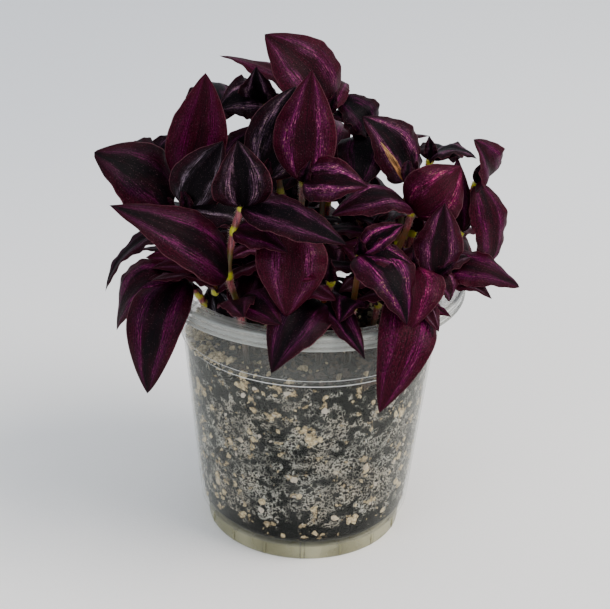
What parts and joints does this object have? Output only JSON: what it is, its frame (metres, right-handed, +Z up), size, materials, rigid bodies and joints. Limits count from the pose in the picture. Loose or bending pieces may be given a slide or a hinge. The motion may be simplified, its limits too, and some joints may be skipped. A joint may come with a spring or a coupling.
{
  "type": "potted tradescantia",
  "caption": "A bushy trailing house plant with pointed dark purple leaves on jointed stems, growing in soil in a clear round plant pot that stands on a foot ring.",
  "frame": {"origin": "On the pot's axis, at the bottom of the foot ring, on the surface that the pot stands on.", "axes": "+Z is up, along the pot's axis. -Y is the front, the side that the picture shows. +X is to the right as seen from the front."},
  "size_m": [0.1709, 0.1494, 0.216],
  "materials": {
    "pot": "clear, slightly frosted",
    "soil": "loose dark potting mix of bark and coir with pale perlite",
    "leaf": "satin, finely sparkling"
  },
  "bodies": {
    "root": {"pot": "pot", "soil": "soil", "stem_front": "leaf", "stem_centre": "leaf", "stem_front_left": "leaf", "stem_left_low": "leaf", "stem_left": "leaf", "stem_front_right": "leaf", "stem_over_rim": "leaf", "stem_wine": "leaf", "stem_silver": "leaf", "stem_lit": "leaf", "stem_top": "leaf", "stem_behind_lit": "leaf", "stem_brown": "leaf", "stem_dark": "leaf", "stem_left_back": "leaf", "stem_rose": "leaf", "stem_upright_right": "leaf", "stem_far_right": "leaf", "stem_right_low": "leaf", "stem_purple": "leaf", "stem_right_back": "leaf", "stem_black": "leaf", "stem_back_a": "leaf", "stem_back_b": "leaf", "stem_back_c": "leaf", "stem_back_d": "leaf", "stem_back_e": "leaf", "stem_back_f": "leaf", "stem_back_g": "leaf", "stem_back_h": "leaf"}
  },
  "joints": []
}
